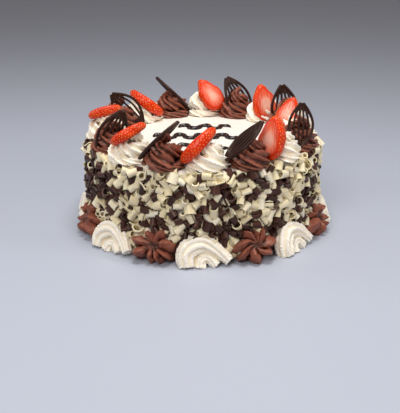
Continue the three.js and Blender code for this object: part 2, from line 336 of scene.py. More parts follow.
def relaxed(mesh, values, rounds):
    """Values averaged with their neighbours', some rounds over."""
    pairs = np.empty(len(mesh.edges) * 2, np.int32)
    mesh.edges.foreach_get("vertices", pairs)
    a, b = pairs.reshape(-1, 2).T
    size = len(mesh.vertices)
    here, there = np.r_[a, b], np.r_[b, a]
    degree = np.maximum(np.bincount(here, minlength=size), 1)
    for _ in range(rounds):
        columns = [np.bincount(here, values[there, k], size) for k in range(3)]
        values = np.stack(columns, 1) / degree[:, None]
    return values


def closed_grid(rings, around):
    """Faces of a closed form: a first pole, rings of points, and a last pole."""
    faces = []
    last = 1 + rings * around
    for k in range(around):
        nxt = (k + 1) % around
        faces.append((0, 1 + nxt, 1 + k))
        for r in range(rings - 1):
            a, b = 1 + r * around, 1 + (r + 1) * around
            faces.append((a + k, a + nxt, b + nxt, b + k))
        end = 1 + (rings - 1) * around
        faces.append((end + k, end + nxt, last))
    return faces


def cleaned(mesh):
    """Makes all faces of a closed mesh point outwards."""
    work = bmesh.new()
    work.from_mesh(mesh)
    bmesh.ops.recalc_face_normals(work, faces=work.faces)
    work.to_mesh(mesh)
    work.free()


def smoothed(mesh):
    """Shades a mesh smooth."""
    mesh.polygons.foreach_set("use_smooth", [True] * len(mesh.polygons))


def closed_mesh(name, points, faces):
    """A closed smooth mesh with its faces outwards, in no object yet."""
    obj = mesh_object(name, points, faces)
    mesh = obj.data
    bpy.data.objects.remove(obj)
    cleaned(mesh)
    smoothed(mesh)
    return mesh


def baked(obj, name):
    """The evaluated mesh of an object as a plain mesh; the object goes."""
    graph = bpy.context.evaluated_depsgraph_get()
    graph.update()
    mesh = bpy.data.meshes.new_from_object(obj.evaluated_get(graph))
    mesh.name = name
    old = obj.data
    bpy.data.objects.remove(obj)
    bpy.data.meshes.remove(old)
    return mesh


def piece(name, mesh, material, slot, nodes=()):
    """A finished piece of the cake, riding on the body."""
    mesh.materials.clear()
    mesh.materials.append(material)
    mesh.polygons.foreach_set("material_index", [0] * len(mesh.polygons))
    obj = bpy.data.objects.new(name, mesh)
    bpy.context.scene.collection.objects.link(obj)
    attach(obj, BODY)
    if nodes:
        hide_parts(*nodes)


def numbered(kind):
    """Portions of one cream with their index and number."""
    number = 0
    for index, portion in enumerate(PORTIONS):
        if portion[0] == kind:
            number += 1
            yield index, number, portion


def stand_matrix(portion):
    """Takes an upright topping, its tip at the origin, to its place in a swirl."""
    _, at, out, tip, lean, to, spin, size = portion
    lean = math.radians(lean)
    along = heading(to + 90)
    axis = heading(to, math.sin(lean)) + Vector((0, 0, math.cos(lean)))
    face = axis.cross(along)
    turn = Matrix((along, face, axis)).transposed().to_4x4()
    spot = heading(at, out + tip[0]) + heading(at + 90, tip[1])
    spot.z = BODY_HEIGHT + tip[2]
    spin = Matrix.Rotation(math.radians(spin), 4, "Z")
    return Matrix.Translation(spot) @ turn @ spin @ Matrix.Scale(size, 4)


def foot_matrix(step, out, up, lean):
    """Takes a piece to its step of the ring at the foot, out from the middle."""
    at = math.radians(FOOT_FIRST + 360 / FOOT_COUNT * step)
    turn = Matrix.Rotation(at, 4, "Z")
    return turn @ Matrix.Translation((0, -out, up)) @ Matrix.Rotation(lean, 4, "X")


def moved(matrix, points):
    """Points taken through a matrix."""
    a = np.array(matrix)
    return np.asarray(points) @ a[:3, :3].T + a[:3, 3]


# ---- Node trees ------------------------------------------------------------


class Nodes:
    """A short way to add nodes to a tree and to feed them."""

    def __init__(self, tree):
        self.tree = tree

    def add(self, kind, *feeds, **settings):
        """A node fed in the order of its sockets, given by its first output."""
        node = self.tree.nodes.new(kind)
        for key, value in settings.items():
            setattr(node, key, value)
        for socket, feed in zip([i for i in node.inputs if i.enabled], feeds):
            self.feed(socket, feed)
        return next(o for o in node.outputs if o.enabled)

    def feed(self, socket, feed):
        """Links another node's output to a socket, or sets its value."""
        if isinstance(feed, bpy.types.NodeSocket):
            self.tree.links.new(feed, socket)
        elif feed is not None:
            socket.default_value = feed

    def scaled(self, vector, by):
        """A vector times a number."""
        out = self.add("ShaderNodeVectorMath", vector, operation="SCALE")
        self.feed(out.node.inputs["Scale"], by)
        return out


class Tree(Nodes):
    """A geometry node tree with named inputs."""

    def __init__(self, name, **inputs):
        super().__init__(bpy.data.node_groups.new(name, "GeometryNodeTree"))
        inputs = {"Shape": "Geometry", **inputs}
        sockets = self.tree.interface
        for label, kind in inputs.items():
            sockets.new_socket(label, in_out="INPUT", socket_type="NodeSocket" + kind)
        sockets.new_socket("Shape", in_out="OUTPUT", socket_type="NodeSocketGeometry")
        self.given = dict(zip(inputs, self.tree.nodes.new("NodeGroupInput").outputs))

    def math(self, operation, *feeds):
        return self.add("ShaderNodeMath", *feeds, operation=operation)

    def value(self, name):
        return self.add("GeometryNodeInputNamedAttribute", name)

    def end(self, shape, material):
        """Every tree ends in real mesh with its finish set."""
        shape = self.add("GeometryNodeRealizeInstances", shape)
        shape = self.add("GeometryNodeSetMaterial", shape, None, material)
        end = self.tree.nodes.new("NodeGroupOutput")
        self.feed(end.inputs[0], shape)
        return self.tree


def rope_tree():
    """Draws a ridged nozzle along edges that carry its thickness and turn."""
    numbers = {"Ridges": "Int", "Detail": "Int", "Groove": "Float", "Blade": "Float"}
    tree = Tree("Piped rope", **numbers, Finish="Material")
    shape, ridges, detail, groove, blade, finish = tree.given.values()
    path = tree.add("GeometryNodeMeshToCurve", shape)
    path = tree.add("GeometryNodeSetCurveTilt", path, None, tree.value("turn"))
    around = tree.math("MULTIPLY", ridges, detail)
    ring = tree.add("GeometryNodeCurvePrimitiveCircle", around, 1.0)
    index = tree.add("GeometryNodeInputIndex")
    phase = tree.math("DIVIDE", tree.math("MULTIPLY", index, math.pi), detail)
    crest = tree.math("ABSOLUTE", tree.math("SINE", phase))
    rounded = tree.math("POWER", tree.math("SUBTRACT", 1.0, crest), 1.1)
    sharp = tree.math("POWER", crest, 1.1)
    step = tree.math("MULTIPLY", tree.math("SUBTRACT", sharp, rounded), blade)
    dip = tree.math("ADD", rounded, step)
    full = tree.math("SUBTRACT", 1.0, tree.math("MULTIPLY", dip, groove))
    ridged = tree.scaled(tree.add("GeometryNodeInputPosition"), full)
    ring = tree.add("GeometryNodeSetPosition", ring, None, ridged)
    rope = tree.add("GeometryNodeCurveToMesh", path, ring, tree.value("thickness"), True)
    return tree.end(rope, finish)


def scatter_tree():
    """Presses small shapes into a surface in two layers, and keeps one kind."""
    sizes = ("Spacing", "Lift", "Sink", "Smallest", "Largest", "Tilt")
    tree = Tree(
        "Pressed curls",
        **dict.fromkeys(sizes, "Float"),
        Seed="Int",
        Kind="Float",
        Shapes="Collection",
        Finish="Material",
    )
    given = tree.given

    def layer(step, spacing, low, high, tilt):
        """Points a spacing apart, off the surface by low to high, each with a curl."""

        def draw(least, most, data="FLOAT"):
            draw.count += 1
            own = tree.math("ADD", given["Seed"], float(step + draw.count))
            return tree.add("FunctionNodeRandomValue", least, most, None, own, data_type=data)

        draw.count = 0
        densest, share_kept = 1.0e7, 1.0
        seed = tree.math("ADD", given["Seed"], float(step))
        spread = tree.add(
            "GeometryNodeDistributePointsOnFaces",
            given["Shape"],
            None,
            spacing,
            densest,
            share_kept,
            seed,
            distribute_method="POISSON",
        ).node
        points, normal = spread.outputs[0], spread.outputs[1]
        is_dark = tree.math("LESS_THAN", draw(0.0, 1.0), tree.value("dark_share"))
        other = tree.math("ABSOLUTE", tree.math("SUBTRACT", is_dark, given["Kind"]))
        apart = tree.add("FunctionNodeCompare", other, 0.5, operation="GREATER_THAN")
        off = tree.scaled(normal, draw(low, high))
        points = tree.add("GeometryNodeSetPosition", points, None, None, off)
        facing = tree.add("FunctionNodeAlignRotationToVector", None, 1.0, normal, axis="Z")
        back = tree.math("MULTIPLY", tilt, -1.0)
        least = tree.add("ShaderNodeCombineXYZ", 0.0, back, 0.0)
        most = tree.add("ShaderNodeCombineXYZ", TURN, tilt, TURN)
        turn = draw(least, most, "FLOAT_VECTOR")
        turn = tree.add("FunctionNodeEulerToRotation", turn)
        facing = tree.add("FunctionNodeRotateRotation", facing, turn, rotation_space="LOCAL")
        kept = tree.add("GeometryNodeDeleteGeometry", points, apart, domain="POINT")
        several = tree.add("GeometryNodeCollectionInfo", given["Shapes"], True, True)
        pick = draw(0, 99, "INT")
        size = draw(given["Smallest"], given["Largest"])
        bits = tree.add(
            "GeometryNodeInstanceOnPoints", kept, None, several, True, pick, facing, size
        )
        return tree.add(
            "GeometryNodeStoreNamedAttribute",
            bits,
            None,
            "tint",
            draw(0.0, 1.0),
            data_type="FLOAT",
            domain="INSTANCE",
        )

    # The inner layer is closer, deeper and flatter than the outer one.
    sunk = tree.math("MULTIPLY", given["Sink"], -1.0)
    close = tree.math("MULTIPLY", given["Spacing"], 0.84)
    middle = tree.math("MULTIPLY", given["Lift"], -0.5)
    flatter = tree.math("MULTIPLY", given["Tilt"], 0.6)
    inner = layer(20, close, sunk, tree.math("MULTIPLY", sunk, 0.4), flatter)
    outer = layer(40, given["Spacing"], middle, given["Lift"], given["Tilt"])
    both = tree.add("GeometryNodeJoinGeometry", outer)
    tree.feed(both.node.inputs[0], inner)
    return tree.end(both, given["Finish"])


def grow(obj, group, **values):
    """Adds a node tree to an object and sets its inputs by their identifiers."""
    modifier = obj.modifiers.new(group.name, "NODES")
    modifier.node_group = group
    for item in group.interface.items_tree:
        if item.in_out == "INPUT" and item.name in values:
            modifier[item.identifier] = values[item.name]


def rope_path(name, strands):
    """Edges for the rope tree: each strand has points, thicknesses and turns."""
    points, edges, thick, turns = [], [], [], []
    for strand in strands:
        start = len(points)
        for place, radius, turn in strand:
            points.append(tuple(place))
            thick.append(radius * MM)
            turns.append(turn)
        edges += [(i, i + 1) for i in range(start, len(points) - 1)]
    obj = mesh_object(name, points, [], edges)
    add_values(obj.data, "thickness", thick)
    add_values(obj.data, "turn", turns)
    return obj


def blended(obj, size, rounds):
    """Melts overlapping ropes into one skin."""
    remesh = obj.modifiers.new("One skin", "REMESH")
    remesh.mode = "VOXEL"
    remesh.voxel_size = size
    remesh.use_smooth_shade = True
    soften = obj.modifiers.new("Soften", "SMOOTH")
    soften.factor = 0.5
    soften.iterations = rounds


def cut(obj, cutter):
    """Takes the room of another object out of this one."""
    carve = obj.modifiers.new("Cut", "BOOLEAN")
    carve.operation = "DIFFERENCE"
    carve.solver = "MANIFOLD"
    carve.object = cutter


def piped(name, strands, size, rounds, cutters=(), **nozzle):
    """Ropes of cream or icing melted into one skin and cut back by what is there."""
    path = rope_path(name, strands)
    grow(path, once(rope_tree), **nozzle)
    blended(path, size, rounds)
    for cutter in cutters:
        cut(path, cutter)
    return baked(path, name)


def keep_largest(mesh):
    """Drops all but the largest loose part of a mesh."""
    work = bmesh.new()
    work.from_mesh(mesh)
    work.verts.ensure_lookup_table()
    seen = np.zeros(len(work.verts), bool)
    groups = []
    for vert in work.verts:
        if seen[vert.index]:
            continue
        seen[vert.index] = True
        group, edge = [vert], [vert]
        while edge:
            here = edge.pop()
            for link in here.link_edges:
                other = link.other_vert(here)
                if not seen[other.index]:
                    seen[other.index] = True
                    group.append(other)
                    edge.append(other)
        groups.append(group)
    groups.sort(key=len)
    for group in groups[:-1]:
        bmesh.ops.delete(work, geom=group, context="VERTS")
    work.to_mesh(mesh)
    work.free()


# ---- Finishes --------------------------------------------------------------


class Finish(Nodes):
    """A material in the making."""

    def __init__(self, name, **values):
        self.material = bpy.data.materials.new(name)
        self.material.use_nodes = True
        super().__init__(self.material.node_tree)
        self.surface = self.tree.nodes["Principled BSDF"]
        self.place = self.add("ShaderNodeTexCoord").node.outputs["Object"]
        for key, value in values.items():
            self.set(key.replace("_", " "), value)

    def set(self, name, value):
        """Feeds a socket of the surface, by its name in any case."""
        sockets = self.surface.inputs
        self.feed(next(i for i in sockets if i.name.lower() == name.lower()), value)

    def noise(self, size, detail=3.0, rough=0.5, place=None):
        """Noise whose largest feature is about that many millimetres."""
        where = self.place if place is None else place
        return self.add("ShaderNodeTexNoise", where, 1 / (size * MM), detail, rough)

    def ramp(self, value, *stops):
        """A colour ramp: (position, colour) pairs."""
        out = self.add("ShaderNodeValToRGB", value)
        ramp = out.node.color_ramp
        while len(ramp.elements) < len(stops):
            ramp.elements.new(0.5)
        for element, (position, tone) in zip(ramp.elements, stops):
            element.position = position
            element.color = (*tone, 1.0)
        return out

    def mix(self, factor, a, b):
        """A blend of two colours."""
        node = self.add("ShaderNodeMix", data_type="RGBA").node
        for name, feed in (("Factor", factor), ("A", a), ("B", b)):
            socket = next(i for i in node.inputs if i.name == name and i.enabled)
            self.feed(socket, (*feed, 1.0) if isinstance(feed, tuple) else feed)
        return next(o for o in node.outputs if o.enabled)

    def fit(self, value, low, high, to_low=0.0, to_high=1.0):
        """A value's range brought to another."""
        return self.add("ShaderNodeMapRange", value, low, high, to_low, to_high)

    def attribute(self, name, out="Fac"):
        node = self.add("ShaderNodeAttribute", attribute_name=name).node
        return node.outputs[out]

    def bump(self, height, depth, strength):
        """Fine relief, so many millimetres deep."""
        out = self.add("ShaderNodeBump")
        out.node.inputs["Strength"].default_value = strength
        out.node.inputs["Distance"].default_value = depth * MM
        self.feed(out.node.inputs["Height"], height)
        self.set("Normal", out)


# Chocolate warms what it reflects.
WARM_SHINE = (1.0, 0.78, 0.68, 1.0)

_made = {}


def once(make, *feeds):
    """What a function makes, made the first time that it is asked for."""
    if make not in _made:
        _made[make] = make(*feeds)
    return _made[make]


def glow(weight, *reach):
    """Light that enters a finish and leaves it again, with its reach by colour."""
    return {"subsurface_weight": weight, "subsurface_radius": reach, "subsurface_scale": 0.3}


def tinted(tone, by):
    """A colour made darker or lighter."""
    return tuple(min(1.0, c * by) for c in tone)


def mean(tone, other, share_of_first):
    """A colour between two others."""
    pairs = zip(tone, other)
    return tuple(a * share_of_first + b * (1 - share_of_first) for a, b in pairs)


def coat_cream(cake):
    tone = tuple(cake.coat.tone)
    made = Finish("Coat cream", roughness=0.5, **glow(0.15, 0.010, 0.008, 0.0045))
    cloud = made.noise(14, 4)
    made.set("Base Color", made.ramp(cloud, (0.3, tinted(tone, 0.94)), (0.7, tone)))
    made.bump(made.noise(2.2, 4, 0.6), 0.12, 0.6)
    return made.material


def piped_cream(cake):
    tone, deep = tuple(cake.swirls.cream), tuple(cake.swirls.hollow_shade)
    made = Finish("Whipped cream", roughness=0.42, **glow(0.12, 0.010, 0.008, 0.0045))
    # Painted shade: the hollow colour is mixed in where the cream lies deep in a groove.
    hollow_shade = made.fit(made.attribute("hollow_shade"), -0.25, 0.9)
    base = made.mix(hollow_shade, tone, deep)
    cloud = made.fit(made.noise(6, 3), 0.3, 0.7, 0.0, 0.25)
    made.set("Base Color", made.mix(cloud, base, tinted(tone, 0.93)))
    made.bump(made.noise(0.8, 4, 0.65), 0.07, 0.7)
    return made.material


def piped_chocolate(cake):
    tone, deep = tuple(cake.swirls.chocolate), tuple(cake.swirls.shade)
    made = Finish(
        "Chocolate cream",
        roughness=0.36,
        specular_ior_level=0.36,
        specular_tint=WARM_SHINE,
        **glow(0.08, 0.004, 0.002, 0.0015),
    )
    # Painted shade and painted highlight: grooves get the near-black colour and crests a
    # lighter chocolate.
    hollow_shade = made.fit(made.attribute("hollow_shade"), -0.25, 0.55)
    base = made.mix(hollow_shade, tinted(tone, 1.25), deep)
    cloud = made.fit(made.noise(5, 3), 0.35, 0.65, 0.0, 0.3)
    made.set("Base Color", made.mix(cloud, base, tinted(tone, 0.8)))
    made.bump(made.noise(0.7, 4, 0.65), 0.06, 0.8)
    return made.material


def fan_chocolate(cake):
    tone = tuple(cake.fans.tone)
    made = Finish("Dark chocolate", specular_ior_level=0.28, specular_tint=WARM_SHINE)
    bloom = made.fit(made.noise(4, 4, 0.6), 0.45, 0.75, 0.0, 0.35)
    made.set("Base Color", made.mix(bloom, tone, tinted(tone, 2.6)))
    made.set("Roughness", made.fit(made.noise(3, 3), 0.3, 0.7, 0.26, 0.44))
    made.bump(made.noise(1.2, 3, 0.6), 0.08, 0.5)
    return made.material


def line_icing(cake):
    tone = tuple(cake.waves.tone)
    made = Finish("Piped icing", roughness=0.16)
    cloud = made.fit(made.noise(3, 2), 0.35, 0.7, 0.0, 0.5)
    made.set("Base Color", made.mix(cloud, tone, tinted(tone, 2.2)))
    made.bump(made.noise(1.5, 2), 0.1, 0.4)
    return made.material


def white_chocolate(cake):
    tone = tuple(cake.curls.white)
    made = Finish("White chocolate", roughness=0.38, **glow(0.2, 0.006, 0.0045, 0.0018))
    tint = made.attribute("tint")
    pale, buttery = (0.9, 0.82, 0.65), (0.74, 0.6, 0.33)
    base = made.ramp(tint, (0.0, tinted(tone, 0.9)), (0.45, tone), (1.0, pale))
    grain = made.fit(made.noise(1.6, 3, 0.6), 0.35, 0.7, 0.0, 0.25)
    made.set("Base Color", made.mix(grain, base, buttery))
    made.bump(made.noise(0.9, 3, 0.6), 0.06, 0.7)
    return made.material


def dark_curl_chocolate(cake):
    tone = tuple(cake.curls.dark)
    made = Finish("Curl chocolate", specular_ior_level=0.4, specular_tint=WARM_SHINE)
    tint = made.attribute("tint")
    base = made.ramp(tint, (0.0, tinted(tone, 0.55)), (0.5, tone), (1.0, tinted(tone, 1.6)))
    dusty = (0.11, 0.06, 0.05)
    bloom = made.fit(made.noise(2, 4, 0.65), 0.5, 0.75, 0.0, 0.4)
    made.set("Base Color", made.mix(bloom, base, dusty))
    made.set("Roughness", made.fit(made.noise(1.5, 3), 0.3, 0.7, 0.26, 0.48))
    made.bump(made.noise(0.8, 3, 0.6), 0.06, 0.7)
    return made.material


def berry_skin_and_flesh(cake):
    skin, flesh = tuple(cake.berries.skin), tuple(cake.berries.flesh)
    core = tuple(cake.berries.core)
    made = Finish(
        "Strawberry",
        roughness=0.32,
        specular_ior_level=0.12,
        coat_weight=0.2,
        coat_roughness=0.08,
        **glow(0.03, 0.006, 0.002, 0.0012),
    )
    veins = made.attribute("veins", "Vector")
    out = made.attribute("rind")
    face = made.attribute("cut")
    streak = made.noise(1, 3, 0.6, place=veins)
    streak.node.inputs["Scale"].default_value = 1.0
    streak = made.fit(streak, 0.46, 0.6)
    zone = made.ramp(
        out,
        (0.0, mean(core, flesh, 0.85)),
        (0.25, mean(core, flesh, 0.5)),
        (0.52, flesh),
        (0.76, mean(skin, flesh, 0.6)),
        (0.9, skin),
    )
    within = made.ramp(
        out, (0.0, (0.4,) * 3), (0.35, (0.6,) * 3), (0.64, (0.35,) * 3), (0.8, (0,) * 3)
    )
    amount = made.add("ShaderNodeMath", streak, within, operation="MULTIPLY")
    cut_tone = made.mix(amount, zone, core)
    blush = made.fit(made.noise(7, 3), 0.35, 0.7)
    brighter = (0.72, 0.05, 0.002)
    skin_tone = made.mix(blush, skin, brighter)
    made.set("Base Color", made.mix(face, skin_tone, cut_tone))
    made.bump(made.noise(1.1, 3, 0.6), 0.1, 0.5)
    return made.material


def berry_seed(cake):
    tone = tuple(cake.berries.seed)
    made = Finish("Strawberry seed", roughness=0.35)
    grain = made.fit(made.noise(1.0, 2), 0.3, 0.7)
    made.set("Base Color", made.mix(grain, tinted(tone, 0.75), tone))
    return made.material


def floor_paper(cake):
    tone = tuple(cake.stage.floor)
    made = Finish("Floor", roughness=0.55)
    cloud = made.fit(made.noise(260, 3), 0.3, 0.7)
    made.set("Base Color", made.mix(cloud, tinted(tone, 0.985), tone))
    return made.material


# ---- The coat --------------------------------------------------------------


def coat_mesh(settings):
    """The coated sponge: a drum with a rounded edge and faint knife marks."""
    edge, ripple = settings.edge / MM, settings.ripple / MM
    outside = BODY_RADIUS - settings.under / MM
    inner = outside - edge
    up, round_edge, in_to_middle, around = 10, 8, 42, 192
    profile = [(outside, (BODY_HEIGHT - edge) * i / up) for i in range(up)]
    for i in range(round_edge + 1):
        a = math.pi / 2 * i / round_edge
        rise = BODY_HEIGHT - edge + edge * math.sin(a)
        profile.append((inner + edge * math.cos(a), rise))
    for i in range(1, in_to_middle):
        profile.append((inner * (1 - i / in_to_middle), BODY_HEIGHT))
    points = [(0, 0, 0)]
    for radius, z in profile:
        for k in range(around):
            a = TURN * k / around
            spot = Vector((math.cos(a) * radius, math.sin(a) * radius, z))
            if z > BODY_HEIGHT - edge:
                groove = math.sin(radius * 0.62 + 1.3 * a + 2 * math.sin(a))
                patch = noise.noise(spot * 0.045) + 0.5 * noise.noise(spot * 0.13)
                spot.z += ripple * (0.3 * groove + 0.9 * patch - 0.6)
            points.append(spot)
    points.append((0, 0, BODY_HEIGHT - 0.6 * ripple))
    return closed_mesh("cake_coat", points, closed_grid(len(profile), around))


# ---- Curls and chips on the side -------------------------------------------


def curl_shape(name, steps, radius, close, turns, long, thick, taper, skew):
    """A shaving rolled up along X, its radius drawn in to close, with crisp ends."""
    points, faces = [], []
    for side in (-0.5, 0.5):
        for i in range(steps + 1):
            t = i / steps
            a = TURN * turns * (t - 0.5)
            r = (radius + (close - radius) * t) * (1 + taper * side)
            x = long * side * (1 + skew * math.sin(3.1 * t + side))
            for depth in (0, thick):
                points.append((x, (r - depth) * math.sin(a), -(r - depth) * math.cos(a)))
    row = 2 * (steps + 1)
    for i in range(steps):
        a, b = 2 * i, 2 * i + 2
        faces.append((a, b, row + b, row + a))
        faces.append((a + 1, row + a + 1, row + b + 1, b + 1))
        faces.append((a, a + 1, b + 1, b))
        faces.append((row + a, row + b, row + b + 1, row + a + 1))
    for a in (0, 2 * steps):
        faces.append((a, row + a, row + a + 1, a + 1))
    mesh = closed_mesh(name, points, faces)
    sharp = mesh.attributes.new("sharp_edge", "BOOLEAN", "EDGE")
    flags = []
    for edge in mesh.edges:
        i, j = edge.vertices
        flags.append(i // 2 == j // 2 or (i // row == j // row and abs(i - j) == 2))
    sharp.data.foreach_set("value", flags)
    return bpy.data.objects.new(name, mesh)


CURL_SHAPES = {
    # steps, radius, inner radius, turns, length, thickness, taper, skew
    "white": [
        (10, 3.4, 2.7, 1.12, 8.4, 0.8, 0.12, 0.03),
        (10, 3.8, 3.2, 0.96, 7.6, 0.8, 0.2, 0.04),
        (10, 3.1, 2.5, 1.05, 9.4, 0.8, 0.1, 0.03),
        (11, 2.9, 1.9, 1.25, 8.0, 0.75, 0.15, 0.03),
        (8, 4.3, 4.0, 0.66, 7.4, 0.9, 0.15, 0.05),
        (10, 3.5, 2.8, 1.08, 6.4, 0.8, 0.3, 0.03),
    ],
    "dark": [
        (10, 3.3, 2.6, 1.08, 6.6, 1.0, 0.12, 0.03),
        (10, 3.7, 3.1, 0.96, 7.2, 1.0, 0.2, 0.04),
        (10, 3.0, 2.3, 1.1, 7.6, 0.95, 0.1, 0.03),
        (8, 4.1, 3.8, 0.66, 6.6, 1.1, 0.12, 0.05),
        (10, 3.4, 2.7, 1.05, 5.6, 1.0, 0.28, 0.03),
        (11, 2.7, 1.9, 1.2, 7.4, 0.9, 0.1, 0.03),
    ],
}


def side_surface():
    """The band of the coat that curls are pressed into, with its share of dark."""
    rows, around, low, high = 24, 144, 4.0, 75.5
    points, faces, shares = [], [], []
    for r in range(rows + 1):
        z = low + (high - low) * r / rows
        for k in range(around):
            at = 360 * k / around
            points.append(heading(at, BODY_RADIUS) + Vector((0, 0, z)))
            dark = DARK_SHARE
            for middle, level, wide, tall, amount in DARK_PATCHES:
                away = (at - middle + 180) % 360 - 180
                near = math.exp(-((away / wide) ** 2) - ((z - level) / tall) ** 2)
                dark = max(dark, amount * near)
            shares.append(dark)
    for r in range(rows):
        for k in range(around):
            nxt = (k + 1) % around
            a, b = r * around, (r + 1) * around
            faces.append((a + k, a + nxt, b + nxt, b + k))
    obj = mesh_object("side", points, faces)
    add_values(obj.data, "dark_share", shares)
    return obj


# ---- Piped forms -----------------------------------------------------------


def swirl_strand(settings, height, seed, at):
    """The path of a swirl: it winds clockwise up to a bent peak."""
    rope, radius = settings.rope / MM, settings.radius / MM
    draw = np.random.default_rng(seed)
    turns = 2.0 + draw.uniform(-0.15, 0.2)
    start = math.radians(at * SWIRL_TURN)
    bend = heading(draw.uniform(0, 360), draw.uniform(1.5, 3.5))
    uneven = draw.uniform(-1, 1, 4)
    foot, climb, steps = 0.62 * rope, 1.6, 110
    strand = []
    for i in range(steps + 1):
        t = i / steps
        a = start - TURN * turns * t
        reach = (radius - 0.86 * rope) * (1 - t**climb) ** 0.8
        reach *= 1 + 0.06 * math.sin(a * 1.5 + uneven[0] * 3)
        z = foot + (height - foot) * t**climb
        z += 0.5 * uneven[1] * math.sin(2.3 * a)
        thick = rope * (0.07 + 0.93 * (1 - t) ** 0.44)
        thick *= min(1, 0.45 + t / 0.05) * (1 + 0.05 * math.sin(4 * a + uneven[2]))
        spot = Vector((math.cos(a) * reach, math.sin(a) * reach, z)) + bend * t**3
        strand.append((spot, max(thick, 0.4), TURN * turns * t + 2 * uneven[3]))
    return strand


def swirl_skirt(settings, seed):
    """The low uneven edge of cream that spreads from under a swirl."""
    draw = np.random.default_rng(seed + 100)
    waves = draw.uniform(0, TURN, 3)
    low, steps = 4.4, 64
    strand = []
    for i in range(steps + 1):
        a = TURN * i / steps
        uneven = 0.6 * math.sin(3 * a + waves[0]) + 0.5 * math.sin(5 * a + waves[1])
        reach = settings.radius / MM - low + uneven
        thick = low + 0.6 * math.sin(4 * a + waves[2])
        spot = Vector((math.cos(a) * reach, math.sin(a) * reach, low * 0.6))
        strand.append((spot, thick, 1.5 * a))
    return strand


def fan_outline(size_along, size_across, steps):
    """A pointed oval, its upper point at the origin."""
    points = []
    for i in range(2 * steps):
        t = i / steps if i <= steps else 2 - i / steps
        side = 1 if i <= steps else -1
        wide = size_across * max(math.sin(math.pi * t), 0) ** 0.9 / 2
        points.append((side * wide, size_along * (t - 1)))
    return points


def slab(name, outline, thick, matrix):
    """A closed plate of an outline in X and Z, moved to its place."""
    n = len(outline)
    near = [(x, -thick / 2, z) for x, z in outline]
    far = [(x, thick / 2, z) for x, z in outline]
    faces = [tuple(range(n)), tuple(range(2 * n - 1, n - 1, -1))]
    faces += [(k, k + n, (k + 1) % n + n, (k + 1) % n) for k in range(n)]
    obj = mesh_object(name, moved(matrix, near + far), faces)
    cleaned(obj.data)
    return obj


def topping_room(cake, portion):
    """The room that a topping takes in the cream."""
    matrix = stand_matrix(portion)
    if portion[0] == "cream":
        berries = cake.berries
        outline = berry_outline(berries, 40)
        return slab("room", outline, berries.thick / MM - 1.2, matrix)
    fans = cake.fans
    outline = fan_outline(fans.length / MM, fans.width / MM, 14)[1:]
    outline = [p for i, p in enumerate(outline) if p not in outline[:i]]
    return slab("room", outline, 1.4 * fans.rib / MM, matrix)


def floor_block(top):
    """A block wider than the cake, up to a level."""
    side, low = 3 * BODY_RADIUS, top - 40
    corners = [(-side, -side), (side, -side), (side, side), (-side, side)]
    points = [(x, y, z) for z in (low, top) for x, y in corners]
    faces = [(3, 2, 1, 0), (4, 5, 6, 7)]
    faces += [(k, (k + 1) % 4, (k + 1) % 4 + 4, k + 4) for k in range(4)]
    return mesh_object("below", points, faces)


def hand_piped(mesh, seed, frill, sway=0.3):
    """Gives piped cream its small unevenness and marks how deep each point is."""
    wide, fine = 0.22, 0.85

    def depth(rounds):
        points, normals = points_of(mesh), normals_of(mesh)
        return ((relaxed(mesh, points, rounds) - points) * normals).sum(1)

    points, normals = points_of(mesh), normals_of(mesh)
    crest = np.clip(-depth(14) / 0.5, 0, 1)
    shift = Vector((seed * 7.3, seed * 3.1, seed * 5.7))
    push = np.empty(len(points))
    for i, point in enumerate(points):
        here = Vector(point) + shift
        push[i] = sway * noise.noise(here * wide)
        if crest[i] > 0.05:
            push[i] += frill * crest[i] * noise.noise(here * fine)
    set_points(mesh, points + normals * push[:, None])
    # How deep each point lies in a hollow; the piped finishes paint shade there by it.
    add_values(mesh, "hollow_shade", np.clip(depth(16) / 0.55, -1, 1))
    smoothed(mesh)


# Paths of a scroll's rope and of the small curl inside it, sideways and up.
SCROLL_ARCH = [(-14.0, -1), (-14.4, 9), (-9.4, 16.8), (-1, 19.4), (9.4, 15), (19.8, 4.8)]
SCROLL_CURL = [(-3.8, -1), (-2.8, 5.4), (2.8, 7.6), (9.6, 1)]


def scroll_strands(settings, seed):
    """An arch of rope over a small inner curl, upright in the XZ plane."""
    draw = np.random.default_rng(seed)
    wide = settings.radius / MM
    nudge = draw.uniform(-0.8, 0.8, (len(SCROLL_ARCH), 2))
    arch = [(x + dx, z + dz) for (x, z), (dx, dz) in zip(SCROLL_ARCH, nudge)]

    def strand(path, steps, radius_at, turn):
        return [
            (Vector((x, 0, z)), radius_at(i / steps), turn * i / steps)
            for i, (x, z) in enumerate(spline(path, steps))
        ]

    def arch_radius(t):
        swell = 0.84 + 0.2 * math.sin(math.pi * min(t * 1.15, 1))
        return wide * swell * (1 - 0.42 * t**3)

    def curl_radius(t):
        return 0.62 * wide * (1 - 0.25 * t)

    return [
        strand(arch, 60, arch_radius, 0.9 + draw.uniform(-0.2, 0.2)),
        strand(SCROLL_CURL, 30, curl_radius, 0.6),
    ]


def wave_strand(settings, seed, middle, half, back):
    """A wavy line across the top, leaning into its waves and thin at its ends."""
    line, swing = settings.line / MM, settings.swing / MM
    humps = round(half / swing)
    steps = humps * 16
    strand = []
    for i in range(steps + 1):
        t = i / steps
        x = middle + half * (2 * t - 1)
        y = back + swing * math.sin(math.pi * humps * t)
        x -= 1.3 * math.sin(TURN * humps * t)
        wobble = noise.noise(Vector((x * 0.13, y * 0.13, seed)))
        end = min(1.0, 0.35 + 6 * min(t, 1 - t) * humps / 3)
        thick = line * (1 + 0.28 * wobble) * end
        strand.append((Vector((x, y + wobble, BODY_HEIGHT + 0.1)), thick, 0.0))
    return strand


